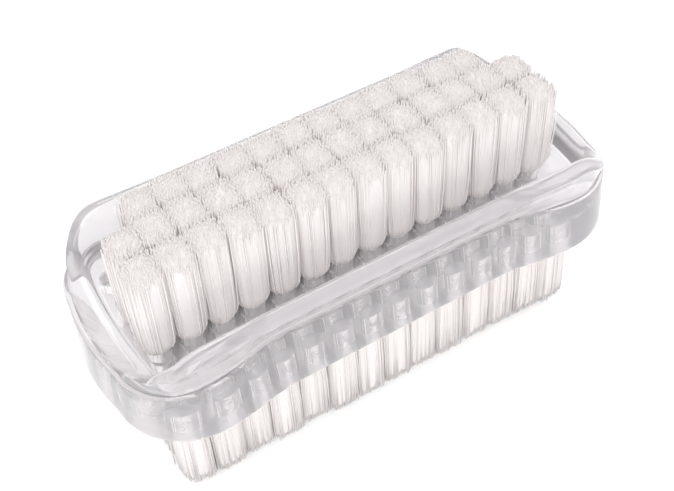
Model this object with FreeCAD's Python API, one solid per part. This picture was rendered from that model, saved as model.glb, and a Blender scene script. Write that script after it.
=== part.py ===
"""Two-sided nail brush: a clear moulded body with nylon tufts anchored in both faces.

The brush rests on its lower tufts at height zero. X runs along the brush and Z points up.
"""
import math
import os
from collections import namedtuple

import FreeCAD
import Part

# Driving sizes of the moulded body, in millimetres
BODY_LENGTH = 95.0
BODY_WIDTH = 41.2
SLAB_THICKNESS = 9.3
WALL_HEIGHT = 9.0
LIP_HEIGHT = 2.4
WALL_THICKNESS = 3.0
POCKET_DRAFT = 0.8
END_BOW = 0.9
EDGE_ROUND = 1.3
CREASE_RISE = 0.8
SHELF_RISE = 1.8
OVERRUN = 1.0

# Driving sizes of the tufts and their anchors
UPPER_TUFT_LENGTH = 18.4
LOWER_TUFT_LENGTH = 18.3
HOLE_RADIUS = 1.8
TUFT_CLEARANCE = 0.05
ANCHOR_THICKNESS = 0.4
TUFTS_PER_ROW = 14
UPPER_ROWS = 3
UPPER_END_ROWS = 2
LOWER_ROWS = 5
TUFT_SIDES = 6

# Shares that follow the sizes above
HOLE_DEPTH_SHARE = 0.41
TUFT_PITCH_SHARE = 0.0579
ROW_PITCH_SHARE = 0.1578
FIELD_SHIFT_SHARE = 0.018
TUFT_SPLAY_SHARE = 0.54
ROW_SPLAY_SHARE = 0.46
FOLD_SHARE = 0.2
ANCHOR_HEIGHT_SHARE = 0.5
COVE_SHARE = 0.5
SCOOP_START_SHARE = 0.42
SCOOP_STOP_SHARE = 0.56
END_LEAN_SHARE = 0.04
WAIST_SHARES = (0.0, 0.03, 0.75, 1.0, 1.0, 1.0, 0.75, 0.03, 0.0)
WAIST_STATION_SHARES = (1.0, 0.96, 0.76, 0.56, 0.0, -0.56, -0.76, -0.96, -1.0)

# Heights of the faces
UNDER_LEVEL = LOWER_TUFT_LENGTH
FLOOR_LEVEL = UNDER_LEVEL + SLAB_THICKNESS
LIP_LEVEL = FLOOR_LEVEL + LIP_HEIGHT
RIM_LEVEL = FLOOR_LEVEL + WALL_HEIGHT
CREASE_LEVEL = FLOOR_LEVEL + CREASE_RISE
SHELF_LEVEL = CREASE_LEVEL + SHELF_RISE
COVE_LEVEL = SHELF_LEVEL + COVE_SHARE * (RIM_LEVEL - EDGE_ROUND - SHELF_LEVEL)

# Spacing of the tufts, their field standing a little nearer the left end
HOLE_DEPTH = HOLE_DEPTH_SHARE * SLAB_THICKNESS
TUFT_PITCH = TUFT_PITCH_SHARE * BODY_LENGTH
ROW_PITCH = ROW_PITCH_SHARE * BODY_WIDTH
FIELD_SHIFT = FIELD_SHIFT_SHARE * BODY_LENGTH
TIP_RADIUS = min(TUFT_SPLAY_SHARE * TUFT_PITCH, ROW_SPLAY_SHARE * ROW_PITCH)

# A level outline of the body, each share taken of half the body's length or width
Section = namedtuple("Section", "level length_share width_share corner_share waist_share")
UNDER = Section(UNDER_LEVEL, 0.979, 0.951, 0.558, 0.083)
BLOCK = Section(UNDER_LEVEL + EDGE_ROUND, 1.0, 1.0, 0.607, 0.087)
CREASE = Section(CREASE_LEVEL, 0.985, 0.942, 0.519, 0.126)
SHELF = Section(SHELF_LEVEL, 0.949, 0.927, 0.412, 0.112)
COVE = Section(COVE_LEVEL, 0.944, 0.932, 0.364, 0.078)
RIM_EDGE = Section(RIM_LEVEL - EDGE_ROUND, 0.953, 0.971, 0.33, 0.019)
RIM_TOP = Section(RIM_LEVEL, 0.936, 0.932, 0.291, 0.019)

# A face that carries tufts; side is 1 for the tray's floor and -1 for the underside
TuftFace = namedtuple("TuftFace", "name level side length rows end_rows end_lean_share")
UPPER_FACE = TuftFace("upper", FLOOR_LEVEL, 1, UPPER_TUFT_LENGTH, UPPER_ROWS, UPPER_END_ROWS, END_LEAN_SHARE)
LOWER_FACE = TuftFace("lower", UNDER_LEVEL, -1, LOWER_TUFT_LENGTH, LOWER_ROWS, LOWER_ROWS, 0)


def vector(x, y, z):
    """A point or direction."""
    return FreeCAD.Vector(x, y, z)


def arc(first, middle, last):
    """The circular edge through three points."""
    return Part.Arc(first, middle, last).toShape()


def waisted_side(reach, half_width, waist, level, sign):
    """One long side, drawn in by the waist at its middle and straight where it meets the corners."""
    points = [
        vector(sign * station * reach, sign * (half_width - draw * waist), level)
        for station, draw in zip(WAIST_STATION_SHARES, WAIST_SHARES)
    ]
    curve = Part.BSplineCurve()
    curve.interpolate(Points=points)
    return curve.toShape()


def outline(section, inset=0):
    """A closed level outline: bowed ends, round corners and waisted sides, drawn in all round by inset."""
    half_length = section.length_share * BODY_LENGTH / 2 - inset
    half_width = section.width_share * BODY_WIDTH / 2 - inset
    corner = section.corner_share * BODY_WIDTH / 2 - inset
    waist = section.waist_share * BODY_WIDTH / 2
    end = half_length - END_BOW
    reach = end - corner
    shoulder = half_width - corner
    diagonal = corner * math.sqrt(0.5)
    edges = []
    for sign in (1, -1):
        bow_start = vector(sign * end, -sign * shoulder, section.level)
        bow_peak = vector(sign * half_length, 0, section.level)
        bow_stop = vector(sign * end, sign * shoulder, section.level)
        turn = vector(sign * (reach + diagonal), sign * (shoulder + diagonal), section.level)
        side_start = vector(sign * reach, sign * half_width, section.level)
        far_turn = vector(-sign * (reach + diagonal), sign * (shoulder + diagonal), section.level)
        far_start = vector(-sign * reach, sign * half_width, section.level)
        far_stop = vector(-sign * end, sign * shoulder, section.level)
        edges.append(arc(bow_start, bow_peak, bow_stop))
        edges.append(arc(bow_stop, turn, side_start))
        edges.append(waisted_side(reach, half_width, waist, section.level, sign))
        edges.append(arc(far_start, far_turn, far_stop))
    return Part.Wire(edges)


def outer_form():
    """The moulding before anything is cut: a rounded block, a sloped shelf and a coved upper wall."""
    sections = (UNDER, BLOCK, CREASE, SHELF, COVE, RIM_EDGE, RIM_TOP)
    return Part.makeLoft([outline(section) for section in sections], True, True)


def tray():
    """The space inside the walls, with drafted sides and a rounded mouth."""
    floor = RIM_EDGE._replace(level=FLOOR_LEVEL)
    mouth = RIM_TOP._replace(level=RIM_LEVEL + EDGE_ROUND)
    lower = outline(floor, WALL_THICKNESS + POCKET_DRAFT)
    upper = outline(RIM_EDGE, WALL_THICKNESS)
    flare = outline(mouth, WALL_THICKNESS - EDGE_ROUND - POCKET_DRAFT)
    return Part.makeLoft([lower, upper, flare], True, True)


def tray_reach():
    """Half the straight length of the tray's long sides at the rim."""
    half_length = RIM_EDGE.length_share * BODY_LENGTH / 2 - WALL_THICKNESS
    corner = RIM_EDGE.corner_share * BODY_WIDTH / 2 - WALL_THICKNESS
    return half_length - END_BOW - corner


def trough(x, flat, mouth):
    """The upright outline of an end trough: a flat bottom at the lip and round sides up to its mouth."""
    rise = RIM_LEVEL - LIP_LEVEL
    span = mouth - flat
    radius = (span ** 2 + rise ** 2) / (2 * rise)
    turn = math.asin(span / radius) / 2
    bend = flat + radius * math.sin(turn)
    bend_level = LIP_LEVEL + radius * (1 - math.cos(turn))
    roof = RIM_LEVEL + OVERRUN
    rims = [vector(x, side * mouth, RIM_LEVEL) for side in (-1, 1)]
    bends = [vector(x, side * bend, bend_level) for side in (-1, 1)]
    feet = [vector(x, side * flat, LIP_LEVEL) for side in (-1, 1)]
    roofs = [vector(x, side * mouth, roof) for side in (-1, 1)]
    return Part.Wire([
        arc(rims[0], bends[0], feet[0]),
        Part.makeLine(feet[0], feet[1]),
        arc(feet[1], bends[1], rims[1]),
        Part.makeLine(rims[1], roofs[1]),
        Part.makeLine(roofs[1], roofs[0]),
        Part.makeLine(roofs[0], rims[0]),
    ])


def end_scoop(sign):
    """The trough that lowers one end wall, widening from inside the tray's walls to the whole body."""
    wall_inside = RIM_EDGE.width_share * BODY_WIDTH / 2 - WALL_THICKNESS - POCKET_DRAFT / 2
    wall_middle = RIM_EDGE.length_share * BODY_LENGTH / 2 - WALL_THICKNESS / 2
    start = trough(sign * tray_reach(), SCOOP_START_SHARE * BODY_WIDTH / 2, wall_inside)
    stop = trough(sign * wall_middle, SCOOP_STOP_SHARE * BODY_WIDTH / 2, BODY_WIDTH / 2)
    travel = BODY_LENGTH / 2 + OVERRUN - wall_middle
    widening = Part.makeLoft([start, stop], True, True)
    return [widening, Part.Face(stop).extrude(vector(sign * travel, 0, 0))]


def hexagon(radius, level, shift):
    """The points of a level six-sided outline with two flat sides facing along X, moved along X by shift."""
    turn = 2 * math.pi / TUFT_SIDES
    return [
        vector(shift + radius * math.sin(turn * side), radius * math.cos(turn * side), level)
        for side in range(TUFT_SIDES)
    ]


def rectangle(half_length, half_width, level, shift):
    """The points of a level rectangle, moved along X by shift."""
    signs = ((-1, -1), (1, -1), (1, 1), (-1, 1))
    return [vector(shift + x * half_length, y * half_width, level) for x, y in signs]


def flat_face(points):
    """The flat face inside a closed run of points."""
    return Part.Face(Part.makePolygon(points + points[:1]))


def prism(low, high):
    """A solid with flat sides between two level outlines of equally many points."""
    faces = [flat_face(low), flat_face(high)]
    for side in range(len(low)):
        faces.append(flat_face([low[side - 1], low[side], high[side], high[side - 1]]))
    return Part.Solid(Part.Shell(faces))


def row_places(rows):
    """The middle of every tuft at its hole's mouth: a list of X and Y for each row, nearest row first."""
    first_x = -TUFT_PITCH * (TUFTS_PER_ROW - 1) / 2 - FIELD_SHIFT
    first_y = -ROW_PITCH * (rows - 1) / 2
    return [
        [(first_x + TUFT_PITCH * column, first_y + ROW_PITCH * row) for column in range(TUFTS_PER_ROW)]
        for row in range(rows)
    ]


def spread(shape, places):
    """Copies of one shape at every place."""
    copies = []
    for x, y in places:
        copy = shape.copy()
        copy.translate(vector(x, y, 0))
        copies.append(copy)
    return copies


def hole(face_level, side, lean):
    """A blind tuft hole; side is 1 for a hole open at the top and -1 for one open below."""
    mouth = hexagon(HOLE_RADIUS, face_level + side * OVERRUN, lean * OVERRUN)
    bottom = hexagon(HOLE_RADIUS, face_level - side * HOLE_DEPTH, -lean * HOLE_DEPTH)
    return prism(bottom, mouth)


def anchor(face_level, side, lean):
    """The flat staple that holds the fold of a tuft, lying along its row between the hole's flat walls."""
    half = HOLE_RADIUS * math.cos(math.pi / TUFT_SIDES)
    deep = (1 - FOLD_SHARE) * HOLE_DEPTH
    shallow = deep - ANCHOR_HEIGHT_SHARE * HOLE_DEPTH
    low = rectangle(half, ANCHOR_THICKNESS / 2, face_level - side * deep, -lean * deep)
    high = rectangle(half, ANCHOR_THICKNESS / 2, face_level - side * shallow, -lean * shallow)
    return prism(low, high)


def tuft(face_level, side, lean, length):
    """A folded bundle of filaments: narrow at the bottom of its hole and splayed at its tip."""
    neck = HOLE_RADIUS - TUFT_CLEARANCE
    root_radius = neck - (TIP_RADIUS - neck) * HOLE_DEPTH / length
    root = hexagon(root_radius, face_level - side * HOLE_DEPTH, -lean * HOLE_DEPTH)
    tip = hexagon(TIP_RADIUS, face_level + side * length, lean * length)
    return prism(root, tip).cut(anchor(face_level, side, lean))


def stations(face):
    """Where the tufts of one face stand: each row between its ends, then both ends, with the lean of each."""
    grid = row_places(face.rows)
    parts = [(f"row_{number}", places[1:-1], 0) for number, places in enumerate(grid, start=1)]
    ends = grid[:face.end_rows]
    parts.append(("left_end", [places[0] for places in ends], 0))
    parts.append(("right_end", [places[-1] for places in ends], face.end_lean_share))
    return parts


def body():
    """The clear moulding with its tray, scooped ends and blind tuft holes."""
    form = outer_form().cut([tray()] + end_scoop(1) + end_scoop(-1))
    holes = []
    for face in (UPPER_FACE, LOWER_FACE):
        for _, places, lean in stations(face):
            holes.extend(spread(hole(face.level, face.side, lean), places))
    return form.cut(Part.Compound(holes)).removeSplitter()


def main():
    """Build every piece and write it to its own file."""
    os.makedirs("parts", exist_ok=True)
    pieces = {"body": body()}
    for face in (UPPER_FACE, LOWER_FACE):
        for station, places, lean in stations(face):
            bundle = tuft(face.level, face.side, lean, face.length)
            staple = anchor(face.level, face.side, lean)
            pieces[f"{face.name}_tufts_{station}"] = Part.Compound(spread(bundle, places))
            pieces[f"{face.name}_anchors_{station}"] = Part.Compound(spread(staple, places))
    for name, shape in pieces.items():
        shape.exportStep(f"parts/{name}.step")


main()
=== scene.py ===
"""Dress the double-sided nail brush: a clear moulded body, nylon tufts on both faces, metal anchors.

Sizes are in millimetres and become metres when a mesh is written. X runs along the brush, Z points up.
"""

import logging
import math
from dataclasses import dataclass, field
from enum import Enum
from typing import Any, ClassVar, Optional, Sequence

import bpy
import numpy as np
from bpy.types import Material, Node, NodeSocket, NodeTree, Object
from mathutils import Matrix, Vector
from mathutils.geometry import delaunay_2d_cdt


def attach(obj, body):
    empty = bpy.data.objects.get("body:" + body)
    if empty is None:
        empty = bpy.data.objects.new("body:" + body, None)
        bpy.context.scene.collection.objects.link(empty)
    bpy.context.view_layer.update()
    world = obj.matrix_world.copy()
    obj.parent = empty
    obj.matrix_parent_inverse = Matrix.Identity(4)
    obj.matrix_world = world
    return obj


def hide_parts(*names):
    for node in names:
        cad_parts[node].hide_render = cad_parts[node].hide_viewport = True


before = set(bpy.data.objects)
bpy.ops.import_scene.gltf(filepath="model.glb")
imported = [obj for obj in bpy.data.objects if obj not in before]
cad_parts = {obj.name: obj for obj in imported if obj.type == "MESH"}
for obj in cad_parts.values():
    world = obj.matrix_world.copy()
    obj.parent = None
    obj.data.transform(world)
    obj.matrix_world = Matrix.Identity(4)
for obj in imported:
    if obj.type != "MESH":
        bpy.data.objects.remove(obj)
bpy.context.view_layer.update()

LOG = logging.getLogger("nail_brush")
MM = 0.001
WHITE = "#ffffff"
Table = tuple[float, ...]


class Side(Enum):
    """The face of the body that a tuft field stands on. The value is the way its tufts point along Z."""

    UPPER = 1
    LOWER = -1


def linear(hex_colour: str) -> tuple[float, float, float, float]:
    """Turn an sRGB hex colour into linear red, green, blue and an alpha of one.

    Args:
        hex_colour: six hex digits after a hash.

    Returns:
        The linear colour.
    """
    values = np.array([int(hex_colour[i:i + 2], 16) for i in (1, 3, 5)]) / 255.0
    low = values / 12.92
    high = ((values + 0.055) / 1.055) ** 2.4
    red, green, blue = np.where(values <= 0.04045, low, high)
    return float(red), float(green), float(blue), 1.0


def add_node(tree: NodeTree, kind: str, settings: Optional[dict[str, Any]] = None,
             links: Optional[dict[Any, NodeSocket]] = None) -> Node:
    """Add one shader node with its settings and links.

    Args:
        tree: the tree that gets the node.
        kind: Blender's name of the node type.
        settings: attribute values by name, or socket values by name or number.
        links: sockets that feed this node's inputs, by input name or number.

    Returns:
        The new node.
    """
    node = tree.nodes.new(kind)
    for key, value in (settings or {}).items():
        if isinstance(key, str) and hasattr(node, key):
            setattr(node, key, value)
        else:
            node.inputs[key].default_value = value
    for key, socket in (links or {}).items():
        tree.links.new(socket, node.inputs[key])
    return node


def new_tree(name: str) -> tuple[Material, NodeTree]:
    """Make an empty node material.

    Args:
        name: the material's name.

    Returns:
        The material and its tree.
    """
    material = bpy.data.materials.new(name)
    material.use_nodes = True
    material.node_tree.nodes.clear()
    return material, material.node_tree


def put_mesh(name: str, points: np.ndarray, faces: Sequence[np.ndarray]) -> Object:
    """Put points and faces into a new object at the origin.

    Args:
        name: the object's name.
        points: an array of points in millimetres, one row each.
        faces: arrays of corner numbers, one array for each count of corners.

    Returns:
        The object, linked to the scene.
    """
    corners = np.concatenate([block.ravel() for block in faces])
    counts = np.concatenate([np.full(len(block), block.shape[1]) for block in faces])
    starts = np.concatenate(([0], np.cumsum(counts)[:-1]))
    mesh = bpy.data.meshes.new(name)
    mesh.vertices.add(len(points))
    mesh.vertices.foreach_set("co", (np.asarray(points) * MM).astype(np.float32).ravel())
    mesh.loops.add(len(corners))
    mesh.loops.foreach_set("vertex_index", corners.astype(np.int32))
    mesh.polygons.add(len(counts))
    mesh.polygons.foreach_set("loop_start", starts.astype(np.int32))
    mesh.polygons.foreach_set("use_smooth", np.ones(len(counts), bool))
    mesh.update(calc_edges=True)
    mesh.validate()
    piece = bpy.data.objects.new(name, mesh)
    bpy.context.scene.collection.objects.link(piece)
    return piece


def put_attribute(piece: Object, name: str, domain: str, values: np.ndarray) -> None:
    """Write one number for each point or face of a piece, for its material to read.

    Args:
        piece: the object whose mesh gets the numbers.
        name: the attribute's name.
        domain: POINT or FACE.
        values: the numbers, in the mesh's order.
    """
    layer = piece.data.attributes.new(name, "FLOAT", domain)
    layer.data.foreach_set("value", values.astype(np.float32))


def circle_points(sides: int) -> np.ndarray:
    """Points of a circle of radius one, anticlockwise from X.

    Args:
        sides: how many points there are.

    Returns:
        Sides by X and Y.
    """
    turn = np.arange(sides) * 2 * np.pi / sides
    return np.stack([np.cos(turn), np.sin(turn)], axis=-1)


def ring_faces(rows: int, columns: int) -> np.ndarray:
    """Corner numbers of the quads between the closed rings of a grid of points.

    Args:
        rows: how many rings there are.
        columns: how many points each ring has.

    Returns:
        One row of four corners for each quad.
    """
    row, column = np.meshgrid(np.arange(rows - 1), np.arange(columns), indexing="ij")
    after = (column + 1) % columns
    quads = np.stack([row * columns + column, row * columns + after,
                      (row + 1) * columns + after, (row + 1) * columns + column], axis=-1)
    return quads.reshape(-1, 4)


def bundle_faces(shape: tuple[int, ...], first: int) -> list[np.ndarray]:
    """Corner numbers of many closed tubes whose points follow each other.

    Args:
        shape: how many tubes there are, rings in each and points in a ring.
        first: the number of the first point.

    Returns:
        The quads of the walls, then the faces that close both ends.
    """
    count, rings, sides = shape
    block = rings * sides
    offset = (np.arange(count) * block)[:, None, None] + first
    walls = (ring_faces(rings, sides)[None] + offset).reshape(-1, 4)
    start = (np.arange(sides)[::-1][None, None] + offset).reshape(-1, sides)
    stop = (np.arange(block - sides, block)[None, None] + offset).reshape(-1, sides)
    return [walls, start, stop]


@dataclass(frozen=True)
class ClearStyrene:
    """Clear polystyrene, injection moulded in a polished tool.

    The eye sees a colourless body with bright rims, faint grey depth and mirror-like edges.

    Attributes:
        depth_tint: colour that thick places take on.
        shadow_tint: colour of light that has gone through.
        depth_per_m: how strongly depth takes light away.
        clarity: share of light that goes in and isn't scattered at the skin.
        ripple_mm: width of the flow ripple.
        chatter_mm: width of the rough marks in the holes, drawn coarser than real ones so that they show.
        chatter_depth: how many times deeper those marks are than the ripple.
    """

    tint: str = "#f3f1f3"
    depth_tint: str = "#b9b5bb"
    shadow_tint: str = "#fcfbfb"
    depth_per_m: float = 20.0
    ior: float = 1.59
    roughness: float = 0.04
    clarity: float = 0.74
    ripple_mm: float = 9.0
    chatter_mm: float = 0.7
    chatter_depth: float = 40.0
    relief_strength: float = 0.06
    relief_mm: float = 0.4

    def material(self) -> Material:
        """Build the material: a refracting skin with faint flow ripple and rough holes, over a grey depth.

        Lamp light that falls on the body goes straight on, so that what stands in it and behind it is lit.

        Returns:
            The material.
        """
        material, tree = new_tree("clear_moulded_polystyrene")
        place = add_node(tree, "ShaderNodeTexCoord")
        ripple, chatter = (
            add_node(tree, "ShaderNodeTexNoise", {"Scale": 1.0 / (width * MM), "Detail": 1.0},
                     {"Vector": place.outputs["Object"]})
            for width in (self.ripple_mm, self.chatter_mm))
        drilled = add_node(tree, "ShaderNodeAttribute", {"attribute_name": "drilled"})
        rough = add_node(tree, "ShaderNodeMath", {"operation": "MULTIPLY"},
                         {0: drilled.outputs["Fac"], 1: chatter.outputs["Fac"]})
        relief = add_node(tree, "ShaderNodeMath", {"operation": "MULTIPLY_ADD", 1: self.chatter_depth},
                          {0: rough.outputs[0], 2: ripple.outputs["Fac"]})
        bump = add_node(tree, "ShaderNodeBump",
                        {"Strength": self.relief_strength, "Distance": self.relief_mm * MM},
                        {"Height": relief.outputs[0]})
        skin = add_node(tree, "ShaderNodeBsdfPrincipled",
                        {"Base Color": linear(self.tint), "Roughness": self.roughness, "IOR": self.ior,
                         "Transmission Weight": self.clarity},
                        {"Normal": bump.outputs["Normal"]})
        path = add_node(tree, "ShaderNodeLightPath")
        shadow = add_node(tree, "ShaderNodeBsdfTransparent", {"Color": linear(self.shadow_tint)})
        surface = add_node(tree, "ShaderNodeMixShader", None,
                           {0: path.outputs["Is Shadow Ray"], 1: skin.outputs["BSDF"],
                            2: shadow.outputs["BSDF"]})
        depth = add_node(tree, "ShaderNodeVolumeAbsorption",
                         {"Color": linear(self.depth_tint), "Density": self.depth_per_m})
        add_node(tree, "ShaderNodeOutputMaterial", None,
                 {"Surface": surface.outputs[0], "Volume": depth.outputs["Volume"]})
        return material


@dataclass(frozen=True)
class DrawnNylon:
    """White nylon filament, drawn and cut level.

    The eye sees soft, milky columns whose sides glow a little where light passes through them.

    Attributes:
        colour: colour of the whitest filaments.
        shade: colour of the least white ones.
        glow: share of light that passes through a filament.
    """

    colour: str = "#fefaf9"
    shade: str = "#f9f4f2"
    ior: float = 1.53
    roughness: float = 0.42
    glow: float = 0.15

    def material(self) -> Material:
        """Build the material: filaments that differ a little in whiteness and let some light through.

        Returns:
            The material.
        """
        material, tree = new_tree("drawn_nylon_filament")
        strand = add_node(tree, "ShaderNodeAttribute", {"attribute_name": "strand"})
        mix = add_node(tree, "ShaderNodeMix",
                       {"data_type": "RGBA", 6: linear(self.shade), 7: linear(self.colour)},
                       {0: strand.outputs["Fac"]})
        skin = add_node(tree, "ShaderNodeBsdfPrincipled", {"Roughness": self.roughness, "IOR": self.ior},
                        {"Base Color": mix.outputs[2]})
        through = add_node(tree, "ShaderNodeBsdfTranslucent", None, {"Color": mix.outputs[2]})
        both = add_node(tree, "ShaderNodeMixShader", {0: self.glow},
                        {1: skin.outputs["BSDF"], 2: through.outputs["BSDF"]})
        add_node(tree, "ShaderNodeOutputMaterial", None, {"Surface": both.outputs[0]})
        return material


@dataclass(frozen=True)
class FlatWire:
    """Nickel silver wire, drawn flat and cut off for each tuft.

    The eye sees small bright or dark dashes deep in the clear body.

    Attributes:
        line_mm: width of the drawing lines, coarser than real ones so that they can show.
        line_stretch: how far the pattern is squeezed along the wire, which draws it out into lines.
    """

    colour: str = "#c9c4bb"
    roughness: float = 0.28
    line_mm: float = 0.12
    line_stretch: float = 0.05
    line_strength: float = 0.15
    line_depth_mm: float = 0.02

    def material(self) -> Material:
        """Build the material: metal with fine drawing lines along the wire.

        Returns:
            The material.
        """
        material, tree = new_tree("drawn_nickel_silver_wire")
        place = add_node(tree, "ShaderNodeTexCoord")
        across = add_node(tree, "ShaderNodeMapping", {"Scale": (self.line_stretch, 1.0, 1.0)},
                          {"Vector": place.outputs["Object"]})
        lines = add_node(tree, "ShaderNodeTexNoise", {"Scale": 1.0 / (self.line_mm * MM), "Detail": 0.0},
                         {"Vector": across.outputs["Vector"]})
        bump = add_node(tree, "ShaderNodeBump",
                        {"Strength": self.line_strength, "Distance": self.line_depth_mm * MM},
                        {"Height": lines.outputs["Fac"]})
        skin = add_node(tree, "ShaderNodeBsdfPrincipled",
                        {"Base Color": linear(self.colour), "Metallic": 1.0, "Roughness": self.roughness},
                        {"Normal": bump.outputs["Normal"]})
        add_node(tree, "ShaderNodeOutputMaterial", None, {"Surface": skin.outputs["BSDF"]})
        return material


@dataclass
class TuftField:
    """The tufts of one face: their places, their holes and the filaments that fill them.

    Attributes:
        side: the face they stand on.
        level: height of that face.
        length: height of the tips above it.
        columns: how many places each row has.
        pitch: distance between places along a row.
        shift: how far the field stands off the middle along X.
        hole_depth: depth of a hole, without its drill tip.
        hole_gap: room between a hole's wall and the outermost filaments.
        fold_gap: how far above the hole's bottom the filaments start.
        anchor_gap: half the room that the two halves of a tuft leave for its anchor.
        end_lean: how far the last tuft of a row leans along X for each unit of height.
        end_rows: how many rows have tufts at their ends, counted from the near one.
        filaments: how many filaments each tuft has.
        core_white: whiteness of a packed middle, from 0 to 1.
        tip_shares: half a tip's size along X and Y, as shares of the pitch and the row pitch.
        tip_power: how square a tip is, where 2 is round.
        tip_scatter: how far single filaments stray at the tip.
        trim_scatter: how unevenly they are cut.
        crown: how much shorter a tuft's outermost filaments are.
        crown_power: how late towards the outside that starts.
        sway: how far whole tufts stray at the tip.
        edge_droop: how much shorter filaments at the field's free edges are.
        edge_draw: how much closer in they stand, as a share.
        droop_start: share of the height at which a packed middle starts to follow that.
        droop_span: share of the height over which it does.
    """

    # Shares of a filament's length, and how much of its way outwards it has gone there
    SWELL_ALONG: ClassVar[Table] = (0.0, 0.05, 0.14, 0.5, 1.0)
    SWELL_SHARE: ClassVar[Table] = (0.0, 0.45, 0.78, 0.95, 1.0)
    # Widths of a filament's rings, from its start in the hole to its tip
    FILAMENT_WIDTH: ClassVar[Table] = (1.0, 1.0, 1.0, 1.0, 1.0, 0.8)
    # Heights of a packed middle's rings, as shares of the length, and their widths
    CORE_RISE: ClassVar[Table] = (-0.09, 0.0, 0.05, 0.14, 0.5, 0.88, 0.935, 0.958, 0.972)
    CORE_WIDTH: ClassVar[Table] = (1.0, 1.02, 1.0, 1.0, 0.985, 0.955, 0.89, 0.7, 0.3)
    # Half turns from one filament of the sunflower spiral to the next
    GOLDEN_TURN: ClassVar[float] = 3 - math.sqrt(5)
    # Keeps the draws for whole tufts apart from those for filaments
    SWAY_SEED_STEP: ClassVar[int] = 100

    side: Side
    level: float
    length: float
    rows: int
    columns: int = 14
    pitch: float = 5.5005
    row_pitch: float = 6.5014
    shift: float = -1.71
    hole_radius: float = 2.05
    hole_depth: float = 3.813
    hole_sides: int = 16
    hole_gap: float = 0.05
    drill_tip: float = 0.35
    fold_gap: float = 0.3
    anchor_gap: float = 0.42
    end_lean: float = 0.0
    end_rows: int = 5
    filaments: int = 240
    filament_radius: float = 0.155
    filament_sides: int = 4
    core_sides: int = 14
    core_white: float = 0.5
    tip_shares: tuple[float, float] = (0.59, 0.57)
    tip_power: float = 3.2
    tip_scatter: float = 0.16
    trim_scatter: float = 0.16
    crown: float = 0.6
    crown_power: int = 5
    sway: float = 0.22
    edge_droop: float = 1.5
    edge_draw: float = 0.1
    droop_start: float = 0.5
    droop_span: float = 0.4
    seed: int = 1

    @property
    def name(self) -> str:
        """The face's name, as the nodes have it."""
        return self.side.name.lower()

    @property
    def mouth_fill(self) -> float:
        """How far from a hole's middle the outermost filaments stand at its mouth."""
        return self.hole_radius - self.filament_radius - self.hole_gap

    @property
    def tip_spread(self) -> np.ndarray:
        """How far along X and Y the outermost filaments stand from a tuft's middle at its tip."""
        half = np.array([self.tip_shares[0] * self.pitch, self.tip_shares[1] * self.row_pitch])
        return half - self.filament_radius

    def places(self) -> np.ndarray:
        """The middles of the hole mouths.

        Returns:
            Rows by columns by X and Y.
        """
        x = (np.arange(self.columns) - (self.columns - 1) / 2) * self.pitch + self.shift
        y = (np.arange(self.rows) - (self.rows - 1) / 2) * self.row_pitch
        return np.stack(np.meshgrid(x, y), axis=-1)

    def standing(self) -> np.ndarray:
        """Which places hold a tuft: all but the ends of the rows that stop short.

        Returns:
            A mask, rows by columns.
        """
        mask = np.ones((self.rows, self.columns), bool)
        mask[self.end_rows:, [0, -1]] = False
        return mask

    def groups(self) -> dict[str, np.ndarray]:
        """The tufts of each node: every row between its ends, then both ends.

        Returns:
            A mask for each group's name, rows by columns.
        """
        row, column = np.meshgrid(np.arange(self.rows), np.arange(self.columns), indexing="ij")
        inner = (column > 0) & (column < self.columns - 1)
        groups = {f"row_{number + 1}": inner & (row == number) for number in range(self.rows)}
        groups["left_end"] = (column == 0) & self.standing()
        groups["right_end"] = (column == self.columns - 1) & self.standing()
        return groups

    def leans(self) -> np.ndarray:
        """How far each tuft leans along X for each unit of height: only the right end of a row does.

        Returns:
            Rows by columns.
        """
        lean = np.zeros((self.rows, self.columns))
        lean[:, -1] = self.end_lean
        return lean

    def sways(self) -> np.ndarray:
        """How far use has pushed each tuft's tip.

        Returns:
            Rows by columns by X and Y.
        """
        rng = np.random.default_rng(self.seed + self.SWAY_SEED_STEP)
        return rng.normal(0, self.sway, (self.rows, self.columns, 2))

    def swell(self, along: np.ndarray) -> np.ndarray:
        """How much of its way from the hole to the wider tip a filament has gone.

        Args:
            along: shares of its length above the face.

        Returns:
            Shares of the way.
        """
        return np.interp(along, self.SWELL_ALONG, self.SWELL_SHARE)

    def squared(self, turn: np.ndarray) -> np.ndarray:
        """How much farther than a circle a tip reaches, where neighbours press it square.

        Args:
            turn: angles round the tuft.

        Returns:
            The factors.
        """
        power = self.tip_power
        return (np.abs(np.cos(turn)) ** power + np.abs(np.sin(turn)) ** power) ** (-1 / power)

    def freedom(self, unit: np.ndarray, pick: np.ndarray) -> np.ndarray:
        """How far filaments stand on the sides of a tuft where no neighbour props them.

        It is the square of the filament's reach towards that side, and nought on the other sides.

        Args:
            unit: places in a tuft of radius one, tufts or one by places by X and Y.
            pick: a mask of the wanted tufts, rows by columns.

        Returns:
            The shares, tufts by places.
        """
        framed = np.pad(self.standing(), 1)
        total = np.zeros((int(pick.sum()), unit.shape[1]))
        for across, step in ((0, 1), (0, -1), (1, 1), (1, -1)):
            beside = np.roll(framed, -step, axis=1 - across)[1:-1, 1:-1]
            reach = np.clip(unit[..., across] * step, 0, 1)
            total += ~beside[pick][:, None] * reach ** 2
        return total

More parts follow.
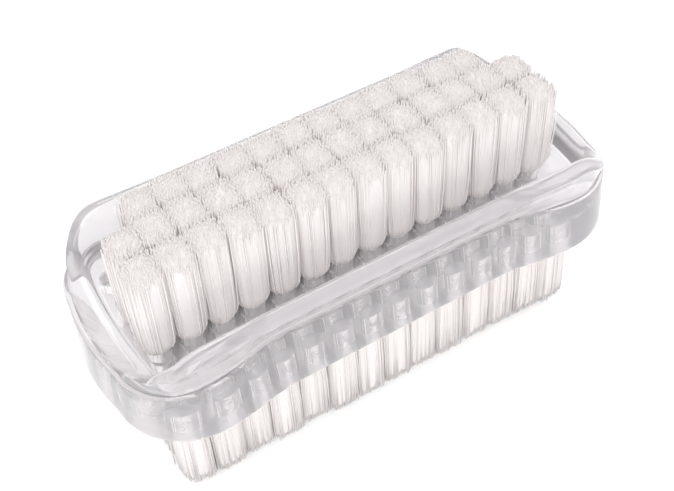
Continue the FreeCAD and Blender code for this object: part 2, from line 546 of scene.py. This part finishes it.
    def holes(self) -> tuple[np.ndarray, np.ndarray]:
        """Rings of every hole's mouth and bottom, and the points of their drill tips.

        A ring is a circle round the hole's line, which leans from the mouth down to the bottom.

        Returns:
            Rings as holes by 2 by sides by 3, and tips as holes by 3.
        """
        circle = circle_points(self.hole_sides) * self.hole_radius
        centre = self.places()[self.standing()].reshape(-1, 1, 1, 2)
        drop = np.array([0.0, self.hole_depth])
        shift = -self.leans()[self.standing()].reshape(-1, 1) * drop
        level = self.level - self.side.value * drop
        rings = np.empty((centre.shape[0], 2, self.hole_sides, 3))
        rings[..., :2] = centre + circle
        rings[..., 0] += shift[..., None]
        rings[..., 2] = level[:, None]
        tips = rings[:, 1].mean(axis=1)
        tips[:, 2] -= self.side.value * self.drill_tip
        return rings, tips

    def strands(self, pick: np.ndarray) -> tuple[np.ndarray, np.ndarray]:
        """Points of the filaments of some tufts.

        Filaments fill the hole in a sunflower spiral, half on each side of the anchor. Above the face
        each one runs from its place in the hole to its place in the wider tip, along a curve that bends
        outwards, and it ends in a narrower tip at its own trimmed height.

        Args:
            pick: a mask of the wanted tufts, rows by columns.

        Returns:
            Points as strands by rings by sides by 3, and a whiteness from 0 to 1 for each strand.
        """
        rng = np.random.default_rng(self.seed)
        shape = (self.rows * self.columns, self.filaments)
        number = np.arange(self.filaments)
        radius = np.sqrt((number + 0.5) / self.filaments)
        spin = rng.uniform(0, 2 * np.pi, (shape[0], 1))
        angle = number * math.pi * self.GOLDEN_TURN + spin
        unit = np.stack([radius * np.cos(angle), radius * np.sin(angle)], axis=-1)
        root = unit * self.mouth_fill
        spare = self.mouth_fill - self.anchor_gap
        root[..., 1] = np.sign(unit[..., 1]) * (self.anchor_gap + np.abs(unit[..., 1]) * spare)
        sway = self.sways().reshape(-1, 1, 2)
        free = self.freedom(unit, np.ones((self.rows, self.columns), bool))
        reach = self.squared(angle) * (1 - self.edge_draw * free)
        stray = rng.normal(0, self.tip_scatter, shape + (2,))
        tip = unit * reach[..., None] * self.tip_spread + stray + sway
        tip[..., 0] += self.leans().reshape(-1, 1) * self.length
        uneven = np.abs(rng.normal(0, self.trim_scatter, shape))
        trim = uneven + self.crown * radius ** self.crown_power + self.edge_droop * free
        base = self.hole_depth - self.fold_gap
        along = np.array(self.SWELL_ALONG)
        stem = self.length - trim
        rise = np.concatenate([np.full(shape + (1,), -base), stem[..., None] * along], axis=-1)
        bend = np.concatenate([np.zeros(1), self.swell(along)])
        line = root[..., None, :] + (tip - root)[..., None, :] * bend[:, None]
        circle = circle_points(self.filament_sides) * self.filament_radius
        width = np.array(self.FILAMENT_WIDTH)
        centre = self.places().reshape(-1, 1, 1, 1, 2)
        points = np.empty(shape + (len(width), self.filament_sides, 3))
        points[..., :2] = centre + line[..., None, :] + circle * width[:, None, None]
        points[..., 2] = (self.level + self.side.value * rise)[..., None]
        white = rng.uniform(0, 1, shape)
        chosen = pick.ravel()
        count = int(chosen.sum()) * self.filaments
        return points[chosen].reshape((count,) + points.shape[2:]), white[chosen].ravel()

    def middles(self, pick: np.ndarray) -> np.ndarray:
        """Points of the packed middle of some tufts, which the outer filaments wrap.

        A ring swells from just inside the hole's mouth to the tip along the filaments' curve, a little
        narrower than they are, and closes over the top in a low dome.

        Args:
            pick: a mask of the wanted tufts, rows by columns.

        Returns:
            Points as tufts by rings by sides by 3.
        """
        rise = np.array(self.CORE_RISE)
        width = np.array(self.CORE_WIDTH)[:, None, None]
        turn = np.arange(self.core_sides) * 2 * np.pi / self.core_sides
        circle = circle_points(self.core_sides)
        bend = self.swell(rise)[:, None]
        tip = self.squared(turn)[:, None] * self.tip_spread
        reach = (self.mouth_fill + (tip - self.mouth_fill) * bend[..., None]) * width
        points = np.empty((int(pick.sum()), len(rise), self.core_sides, 3))
        free = self.freedom((circle * width).reshape(-1, 2)[None], pick).reshape(points.shape[:3])
        draw = 1 - self.edge_draw * free * bend
        points[..., :2] = self.places()[pick][:, None, None] + circle * reach * draw[..., None]
        points[..., :2] += (self.sways()[pick][:, None] * bend)[:, :, None]
        points[..., 0] += (self.leans()[pick][:, None] * self.length * rise)[..., None]
        follow = np.clip(rise / self.droop_span - self.droop_start / self.droop_span, 0, 1)
        height = (self.length * rise)[:, None] - self.edge_droop * free * follow[:, None]
        points[..., 2] = self.level + self.side.value * height
        return points

    def build(self, finish: Material) -> None:
        """Make one piece of filaments for each tuft node.

        Args:
            finish: the filaments' material.
        """
        for group, pick in self.groups().items():
            points, white = self.strands(pick)
            middles = self.middles(pick)
            faces = bundle_faces(points.shape[:3], 0)
            faces += bundle_faces(middles.shape[:3], points[..., 0].size)
            everything = np.concatenate([points.reshape(-1, 3), middles.reshape(-1, 3)])
            piece = put_mesh(f"{self.name}_filaments_{group}", everything,
                             [block[:, ::self.side.value] for block in faces])
            shades = [np.repeat(white, points[0, ..., 0].size),
                      np.full(middles[..., 0].size, self.core_white)]
            put_attribute(piece, "strand", "POINT", np.concatenate(shades))
            piece.data.materials.append(finish)
            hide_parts(f"{self.name}_tufts_{group}")
            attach(piece, "root")
            LOG.info("%s: %d filaments", piece.name, len(white))


@dataclass
class Moulding:
    """The clear body: a waisted block with a walled tray on top, scooped ends and blind tuft holes.

    Attributes:
        lip: height of the rim across an end.
        rim: height of the rim along a side.
        crease: height of the groove's crease.
        ledge: height at which the groove starts above it.
        edge_round: height of the underside's round, and of the rim above the tray's level.
        wall: thickness of the wall at that level.
        draft: how much thicker the wall is at the floor.
        bow: how far an end bows out.
        climb: way along the rim over which it rises from the lip.
        cap_height: height of the rim's round.
        cap_lean: power that leans the round, where 1 is even and less is steeper on the inner side.
        foot_round: radius at the tray's foot.
        waist_start: share of a side, from its middle, at which the waist has faded out.
        waist_fade: share of a side over which it fades.
        sharp_degrees: angle between faces from which an edge is drawn sharp.
        levels: heights at which the shares below hold.
        length_shares: half length of the outline, as shares of half_length.
        width_shares: half width of the outline, as shares of half_width.
        corner_shares: corner radius of the outline, as shares of half_width.
        waist_shares: depth of the waist, as shares of half_width.
    """

    # Steps round a quarter of the outline
    BOW_STEPS: ClassVar[int] = 10
    CORNER_STEPS: ClassVar[int] = 16
    SIDE_STEPS: ClassVar[int] = 44
    # Steps up the outside, over the rim and down into the tray
    EDGE_STEPS: ClassVar[int] = 6
    BLOCK_STEPS: ClassVar[int] = 8
    LEDGE_STEPS: ClassVar[int] = 4
    GROOVE_STEPS: ClassVar[int] = 24
    CAP_STEPS: ClassVar[int] = 12
    TRAY_STEPS: ClassVar[int] = 10
    FOOT_STEPS: ClassVar[int] = 5
    # Place in the tables of shares that belongs to the tray's level
    TRAY_ROW: ClassVar[int] = 6
    # Weights that smooth the rim's height over neighbouring columns
    CREST_BLUR: ClassVar[tuple[int, ...]] = (1, 4, 6, 4, 1)
    # The triangulation keeps faces inside the outline, and takes points this close for one
    KEEP_INSIDE: ClassVar[int] = 1
    SAME_POINT: ClassVar[float] = 1e-6

    under: float = 18.3
    floor: float = 27.6
    lip: float = 30.0
    rim: float = 36.6
    crease: float = 28.4
    ledge: float = 28.7
    half_length: float = 47.5
    half_width: float = 20.6
    edge_round: float = 1.3
    wall: float = 3.0
    draft: float = 0.8
    bow: float = 0.9
    climb: float = 10.0
    cap_height: float = 0.9
    cap_lean: float = 0.7
    foot_round: float = 0.8
    waist_start: float = 0.98
    waist_fade: float = 0.40
    sharp_degrees: float = 40.0
    levels: Table = (18.3, 19.6, 28.4, 28.7, 30.2, 32.75, 35.3, 36.6)
    length_shares: Table = (0.979, 1.0, 0.985, 0.968, 0.949, 0.944, 0.953, 0.936)
    width_shares: Table = (0.951, 1.0, 0.942, 0.914, 0.915, 0.932, 0.971, 0.932)
    corner_shares: Table = (0.558, 0.607, 0.519, 0.474, 0.412, 0.364, 0.33, 0.291)
    waist_shares: Table = (0.083, 0.087, 0.126, 0.122, 0.112, 0.078, 0.019, 0.019)
    fields: list[TuftField] = field(default_factory=list)

    @property
    def tray_level(self) -> float:
        """The height whose outline the tray's wall follows."""
        return self.rim - self.edge_round

    def columns(self) -> dict[str, np.ndarray]:
        """Parameters of the columns round the outline, anticlockwise from the middle of the right end.

        A quarter runs along the bow, round the corner and along the side. Its mirrored copies make the
        other three.

        Returns:
            The progress along bow, corner and side, and the signs of X and Y.
        """
        bow = np.concatenate([np.arange(self.BOW_STEPS) / self.BOW_STEPS,
                              np.ones(self.CORNER_STEPS + self.SIDE_STEPS + 1)])
        corner = np.concatenate([np.zeros(self.BOW_STEPS), np.arange(self.CORNER_STEPS) / self.CORNER_STEPS,
                                 np.ones(self.SIDE_STEPS + 1)])
        side = np.concatenate([np.zeros(self.BOW_STEPS + self.CORNER_STEPS),
                               np.arange(self.SIDE_STEPS + 1) / self.SIDE_STEPS])
        quarter = np.stack([bow, corner * np.pi / 2, side])
        forth, back = quarter[:, :-1], quarter[:, :0:-1]
        whole = np.concatenate([forth, back, forth, back], axis=1)
        count = forth.shape[1]
        sign_x = np.repeat([1, -1, -1, 1], count)
        sign_y = np.repeat([1, 1, -1, -1], count)
        return {"bow": whole[0], "corner": whole[1], "side": whole[2], "x": sign_x, "y": sign_y}

    def outline(self, level: np.ndarray, inset: np.ndarray) -> tuple[np.ndarray, np.ndarray]:
        """X and Y of the body's outline.

        X is the side's reach less the progress along it, plus the corner's cosine, plus what the bow has
        left. Y is the shoulder along the bow, plus the corner's sine, less the waist, which is full over
        the middle of the side and fades to nothing towards the corner.

        Args:
            level: heights that give the shares, rows by columns or a shape that fits it.
            inset: how far the outline is drawn in.

        Returns:
            X and Y, rows by columns.
        """
        at = self.columns()
        share = [np.interp(level, self.levels, table) for table in
                 (self.length_shares, self.width_shares, self.corner_shares, self.waist_shares)]
        half_length = share[0] * self.half_length - inset
        half_width = share[1] * self.half_width - inset
        corner = share[2] * self.half_width - inset
        waist = share[3] * self.half_width
        reach = half_length - self.bow - corner
        fade = np.clip((self.waist_start - (1 - at["side"])) / self.waist_fade, 0, 1)
        full = fade ** 2 * (3 - 2 * fade)
        x = reach * (1 - at["side"]) + corner * np.cos(at["corner"]) + self.bow * (1 - at["bow"] ** 2)
        y = (half_width - corner) * at["bow"] + corner * np.sin(at["corner"]) - waist * full
        return x * at["x"], y * at["y"]

    def crest(self) -> np.ndarray:
        """Height of the rim above each column.

        It is low and level across an end, climbs round the corner and reaches the side wall's height a
        little past it. The climb is half a straight line and half a quarter sine of the way along the
        rim, and it is smoothed over neighbouring columns.

        Returns:
            One row of heights, one for each column.
        """
        at = self.columns()
        corner = self.corner_shares[self.TRAY_ROW] * self.half_width - self.wall / 2
        reach = self.length_shares[self.TRAY_ROW] * self.half_length - self.wall / 2 - self.bow - corner
        way = at["corner"] * corner + at["side"] * reach
        part = np.clip(way / self.climb, 0, 1)
        crest = self.lip + (self.rim - self.lip) * (part + np.sin(part * np.pi / 2)) / 2
        blur = np.array(self.CREST_BLUR) / sum(self.CREST_BLUR)
        padded = np.concatenate([crest[-2:], crest, crest[:2]])
        return np.convolve(padded, blur, mode="valid")[None]

    def inner_inset(self, level: np.ndarray) -> np.ndarray:
        """How far the tray's wall stands inside the rim's outline: the wall, and more towards the floor.

        Args:
            level: heights on the wall.

        Returns:
            The distances.
        """
        return self.wall + self.draft * (self.tray_level - level) / (self.tray_level - self.floor)

    def outer_rows(self, level: np.ndarray) -> np.ndarray:
        """Points of the outer skin at some heights.

        Args:
            level: the heights, rows by columns.

        Returns:
            Rows by columns by X, Y and Z.
        """
        return np.stack([*self.outline(level, np.zeros_like(level)), level], axis=-1)

    def inner_rows(self, level: np.ndarray, inset: np.ndarray) -> np.ndarray:
        """Points of the tray's wall at some heights.

        Args:
            level: the heights, rows by columns.
            inset: how far inside the rim's outline they stand.

        Returns:
            Rows by columns by X, Y and Z.
        """
        return np.stack([*self.outline(np.full_like(level, self.tray_level), inset), level], axis=-1)

    def rounded_rows(self, low: float, high: float, share: np.ndarray, level: np.ndarray) -> np.ndarray:
        """Points that go from the outline of one height to that of another along a round.

        Args:
            low: the height whose outline they start from.
            high: the height whose outline they end on.
            share: how much of the way between the outlines each row has gone.
            level: the heights of the points, rows by columns.

        Returns:
            Rows by columns by X, Y and Z.
        """
        none = np.zeros_like(level)
        x0, y0 = self.outline(np.full_like(level, low), none)
        x1, y1 = self.outline(np.full_like(level, high), none)
        return np.stack([x0 + (x1 - x0) * share, y0 + (y1 - y0) * share, level], axis=-1)

    def outside(self, shoulder: np.ndarray) -> list[np.ndarray]:
        """Points of the outer skin, from the underside's edge to the foot of the rim's round.

        The rows go round the lower edge on a quarter ellipse, up the flared block, over the ledge above
        the crease and up the groove.

        Args:
            shoulder: height at which the rim's round starts, one row for all columns.

        Returns:
            Blocks of rows by columns by X, Y and Z.
        """
        one = np.ones_like(shoulder)
        bottom, block_foot = self.levels[:2]
        turn = np.linspace(0, np.pi / 2, self.EDGE_STEPS + 1)[:, None]
        edge = self.under + self.edge_round * (1 - np.cos(turn)) * one
        rows = [self.rounded_rows(bottom, block_foot, np.sin(turn), edge)]
        climb = np.linspace(0, 1, self.BLOCK_STEPS + 1)[1:, None]
        rows.append(self.outer_rows(block_foot + (self.crease - block_foot) * climb * one))
        turn = np.linspace(0, np.pi / 2, self.LEDGE_STEPS + 1)[1:, None]
        ledge = self.crease + (self.ledge - self.crease) * np.sin(turn) * one
        rows.append(self.rounded_rows(self.crease, self.ledge, 1 - np.cos(turn), ledge))
        climb = np.linspace(0, 1, self.GROOVE_STEPS + 1)[1:, None]
        rows.append(self.outer_rows(self.ledge + (shoulder - self.ledge) * climb))
        return rows

    def cap(self, shoulder: np.ndarray) -> np.ndarray:
        """Points of the rim's round, a half ellipse that is steeper on its inner side.

        Args:
            shoulder: height at which the rim's round starts, one row for all columns.

        Returns:
            Rows by columns by X, Y and Z.
        """
        outer = self.outer_rows(shoulder)[..., :2]
        inner = self.inner_rows(shoulder, self.inner_inset(shoulder))[..., :2]
        turn = np.linspace(0, np.pi, self.CAP_STEPS + 1)[1:, None]
        blend = ((1 - np.cos(turn))[..., None] / 2) ** self.cap_lean
        points = np.empty((self.CAP_STEPS, shoulder.shape[1], 3))
        points[..., :2] = outer + (inner - outer) * blend
        points[..., 2] = shoulder + self.cap_height * np.sin(turn)
        return points

    def inside(self, shoulder: np.ndarray) -> list[np.ndarray]:
        """Points of the tray's wall, from the rim's round down into the floor on a quarter round.

        Args:
            shoulder: height at which the rim's round ends, one row for all columns.

        Returns:
            Blocks of rows by columns by X, Y and Z.
        """
        foot = self.floor + self.foot_round
        climb = np.linspace(1, 0, self.TRAY_STEPS + 1)[1:, None]
        tray = foot + (shoulder - foot) * climb
        turn = np.linspace(0, np.pi / 2, self.FOOT_STEPS + 1)[1:, None]
        sink = self.floor + self.foot_round * (1 - np.sin(turn)) * np.ones_like(shoulder)
        draw = self.inner_inset(np.full_like(sink, foot)) + self.foot_round * (1 - np.cos(turn))
        return [self.inner_rows(tray, self.inner_inset(tray)), self.inner_rows(sink, draw)]

    def wall_grid(self) -> np.ndarray:
        """Points of the closed wall, from the underside's edge over the rim to the tray's floor.

        Returns:
            Rows by columns by X, Y and Z.
        """
        shoulder = self.crest() - self.cap_height
        return np.concatenate([*self.outside(shoulder), self.cap(shoulder), *self.inside(shoulder)])

    def perforated(self, rim: np.ndarray, mouths: np.ndarray) -> np.ndarray:
        """Triangles of a level face between its outline and its hole mouths.

        A constrained triangulation joins all rings; triangles inside one mouth are dropped.

        Args:
            rim: the outline's points, X and Y.
            mouths: the mouths' points, holes by sides by X and Y.

        Returns:
            Corner numbers, the outline's points first and then the mouths' points in order.
        """
        holes, sides = mouths.shape[:2]
        flat = [Vector(point) for point in np.concatenate([rim, mouths.reshape(-1, 2)]).tolist()]
        number = np.arange(len(rim))
        loop = np.stack([number, (number + 1) % len(rim)], axis=-1)
        mouth = np.arange(holes * sides).reshape(holes, sides)
        rings = np.stack([mouth, np.roll(mouth, -1, axis=1)], axis=-1).reshape(-1, 2) + len(rim)
        edges = np.concatenate([loop, rings]).tolist()
        _, _, faces, origin, _, _ = delaunay_2d_cdt(flat, edges, [], self.KEEP_INSIDE, self.SAME_POINT)
        back = np.array([source[0] for source in origin])
        triangles = back[np.array(faces)]
        owner = np.concatenate([np.full(len(rim), -1), np.repeat(np.arange(holes), sides)])[triangles]
        inside = (owner[:, 0] >= 0) & (owner[:, 0] == owner[:, 1]) & (owner[:, 0] == owner[:, 2])
        return triangles[~inside]

    def build(self, finish: Material) -> None:
        """Make the body: the wall, both perforated faces and the walls and tips of the holes.

        Each block of faces goes with a mark, which is one in the holes and nought elsewhere.

        Args:
            finish: the body's material.
        """
        grid = self.wall_grid()
        rows, columns = grid.shape[:2]
        points = [grid.reshape(-1, 3)]
        quads = [(ring_faces(rows, columns), 0.0)]
        triangles = []
        first = rows * columns
        for tufts in self.fields:
            order = tufts.side.value
            rim_row = rows - 1 if tufts.side is Side.UPPER else 0
            rings, tips = tufts.holes()
            holes, sides = rings.shape[0], rings.shape[2]
            side = np.arange(sides)
            face = self.perforated(grid[rim_row, :, :2], rings[:, 0, :, :2])
            offset = (np.arange(holes) * 2 * sides)[:, None] + first
            numbers = np.concatenate([np.arange(columns) + rim_row * columns, (offset + side).ravel()])
            triangles.append((numbers[face][:, ::order], 0.0))
            wall = (ring_faces(2, sides)[None] + offset[..., None]).reshape(-1, 4)
            quads.append((wall[:, ::order], 1.0))
            tip = first + holes * 2 * sides + np.arange(holes)[:, None]
            bottom = offset + sides
            cone = np.stack(np.broadcast_arrays(bottom + side, bottom + (side + 1) % sides, tip), axis=-1)
            triangles.append((cone.reshape(-1, 3)[:, ::order], 1.0))
            points += [rings.reshape(-1, 3), tips]
            first += holes * (2 * sides + 1)
        faces = [np.concatenate([block for block, _ in blocks]) for blocks in (quads, triangles)]
        piece = put_mesh("clear_body", np.concatenate(points), faces)
        marks = np.concatenate([np.full(len(block), mark) for block, mark in quads + triangles])
        put_attribute(piece, "drilled", "FACE", marks)
        piece.data.set_sharp_from_angle(angle=math.radians(self.sharp_degrees))
        piece.data.materials.append(finish)
        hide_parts("body")
        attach(piece, "root")
        LOG.info("%s: %d faces", piece.name, len(piece.data.polygons))


@dataclass(frozen=True)
class Softbox:
    """One soft lamp with a square panel that faces the brush."""

    name: str
    place: tuple[float, float, float]
    size: float
    watts: float

    def hang(self, target: Vector) -> None:
        """Put the lamp into the scene.

        Args:
            target: the point it faces, in millimetres.
        """
        light = bpy.data.lights.new(self.name, "AREA")
        light.size = self.size * MM
        light.energy = self.watts
        lamp = bpy.data.objects.new(self.name, light)
        lamp.location = Vector(self.place) * MM
        aim = (target - Vector(self.place)).to_track_quat("-Z", "Y")
        lamp.rotation_euler = aim.to_euler()
        bpy.context.scene.collection.objects.link(lamp)


@dataclass
class Studio:
    """The white sweep, the soft lamps and the camera of the photograph.

    Attributes:
        azimuth: the camera's turn round the brush, in degrees.
        elevation: its height above the level, in degrees.
        roll: its tilt to one side, in degrees.
        target: the point that it and the lamps face.
        lens_px: its focal length in pixels.
        centre_px: how far the target stands off the picture's middle, in pixels.
        sky: strength of the even light.
        paper_half: half the side of the sweep.
        paper_lift: how much brighter the sweep looks than its light makes it.
    """

    azimuth: float = -29.33
    elevation: float = 46.57
    roll: float = -3.54
    distance: float = 196.05
    target: tuple[float, float, float] = (0.0, 0.0, 22.99)
    lens_px: float = 1145.2
    image_px: tuple[int, int] = (674, 491)
    centre_px: tuple[float, float] = (6.4, -5.14)
    sensor_mm: float = 36.0
    near_m: float = 0.01
    sky: float = 0.9
    paper: str = "#fafafa"
    paper_half: float = 1500.0
    paper_lift: float = 0.2
    lamps: tuple[Softbox, ...] = (
        Softbox("front_softbox", (-250.0, -420.0, 420.0), 500.0, 1.7),
        Softbox("back_softbox", (120.0, 380.0, 420.0), 260.0, 0.5),
    )

    def camera(self) -> None:
        """Set the camera where the photograph was taken from."""
        turn, tilt, lean = (math.radians(v) for v in (self.azimuth, self.elevation, self.roll))
        back = Vector((math.sin(turn) * math.cos(tilt), -math.cos(turn) * math.cos(tilt), math.sin(tilt)))
        level = Vector((math.cos(turn), math.sin(turn), 0.0))
        right = level * math.cos(lean) + back.cross(level) * math.sin(lean)
        up = back.cross(right)
        lens = bpy.data.cameras.new("photo_camera")
        lens.sensor_width = self.sensor_mm
        lens.lens = self.lens_px * lens.sensor_width / self.image_px[0]
        lens.shift_x = -self.centre_px[0] / self.image_px[0]
        lens.shift_y = self.centre_px[1] / self.image_px[0]
        lens.clip_start = self.near_m
        camera = bpy.data.objects.new("photo_camera", lens)
        place = (Vector(self.target) + back * self.distance) * MM
        camera.matrix_world = Matrix.Translation(place) @ Matrix((right, up, back)).transposed().to_4x4()
        bpy.context.scene.collection.objects.link(camera)
        bpy.context.scene.camera = camera

    @staticmethod
    def shown(tree: NodeTree) -> NodeSocket:
        """Tell rays that carry a picture from rays that carry light.

        Args:
            tree: the tree that gets the nodes.

        Returns:
            A socket with one for rays seen straight, mirrored or refracted, and nought for others.
        """
        path = add_node(tree, "ShaderNodeLightPath")
        seen = add_node(tree, "ShaderNodeMath", {"operation": "MAXIMUM"},
                        {0: path.outputs["Is Camera Ray"], 1: path.outputs["Is Glossy Ray"]})
        shown = add_node(tree, "ShaderNodeMath", {"operation": "MAXIMUM"},
                         {0: seen.outputs[0], 1: path.outputs["Is Transmission Ray"]})
        return shown.outputs[0]

    def sweep(self) -> None:
        """Lay the white paper floor under the brush."""
        half = self.paper_half
        points = np.array([[-half, -half, 0], [half, -half, 0], [half, half, 0], [-half, half, 0]])
        floor = put_mesh("paper_sweep", points, [np.array([[0, 1, 2, 3]])])
        material, tree = new_tree("matt_white_paper")
        paper = add_node(tree, "ShaderNodeBsdfDiffuse", {"Color": linear(self.paper)})
        lift = add_node(tree, "ShaderNodeMath", {"operation": "MULTIPLY", 1: self.paper_lift},
                        {0: self.shown(tree)})
        glow = add_node(tree, "ShaderNodeEmission", {"Color": linear(WHITE)}, {"Strength": lift.outputs[0]})
        both = add_node(tree, "ShaderNodeAddShader", None, {0: paper.outputs[0], 1: glow.outputs[0]})
        add_node(tree, "ShaderNodeOutputMaterial", None, {"Surface": both.outputs[0]})
        floor.data.materials.append(material)

    def world(self) -> None:
        """Light everything evenly, and show plain white behind it."""
        world = bpy.data.worlds.new("white_room")
        bpy.context.scene.world = world
        world.use_nodes = True
        tree = world.node_tree
        tree.nodes.clear()
        light, white = (
            add_node(tree, "ShaderNodeBackground", {"Color": linear(WHITE), "Strength": strength})
            for strength in (self.sky, 1.0))
        both = add_node(tree, "ShaderNodeMixShader", None,
                        {0: self.shown(tree), 1: light.outputs[0], 2: white.outputs[0]})
        add_node(tree, "ShaderNodeOutputWorld", None, {"Surface": both.outputs[0]})

    def build(self) -> None:
        """Set up floor, light and camera."""
        bpy.context.scene.view_settings.view_transform = "Standard"
        self.world()
        self.sweep()
        for softbox in self.lamps:
            softbox.hang(Vector(self.target))
        self.camera()


def dress_anchors(finish: Material) -> None:
    """Give every anchor node its wire finish.

    Args:
        finish: the wire's material.
    """
    for name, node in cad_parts.items():
        if "anchors" in name:
            node.data.materials.clear()
            node.data.materials.append(finish)
            LOG.info("%s: wire finish", name)


def main() -> None:
    """Build the brush, the tufts and the studio."""
    logging.basicConfig(level=logging.INFO, format="%(name)s %(message)s")
    fields = [
        TuftField(side=Side.UPPER, level=27.6, length=18.4, rows=3, end_rows=2, end_lean=0.04, seed=11),
        TuftField(side=Side.LOWER, level=18.3, length=18.3, rows=5, edge_droop=2.2, seed=12),
    ]
    Moulding(fields=fields).build(ClearStyrene().material())
    nylon = DrawnNylon().material()
    for tufts in fields:
        tufts.build(nylon)
    dress_anchors(FlatWire().material())
    Studio().build()


if __name__ == "__main__":
    main()
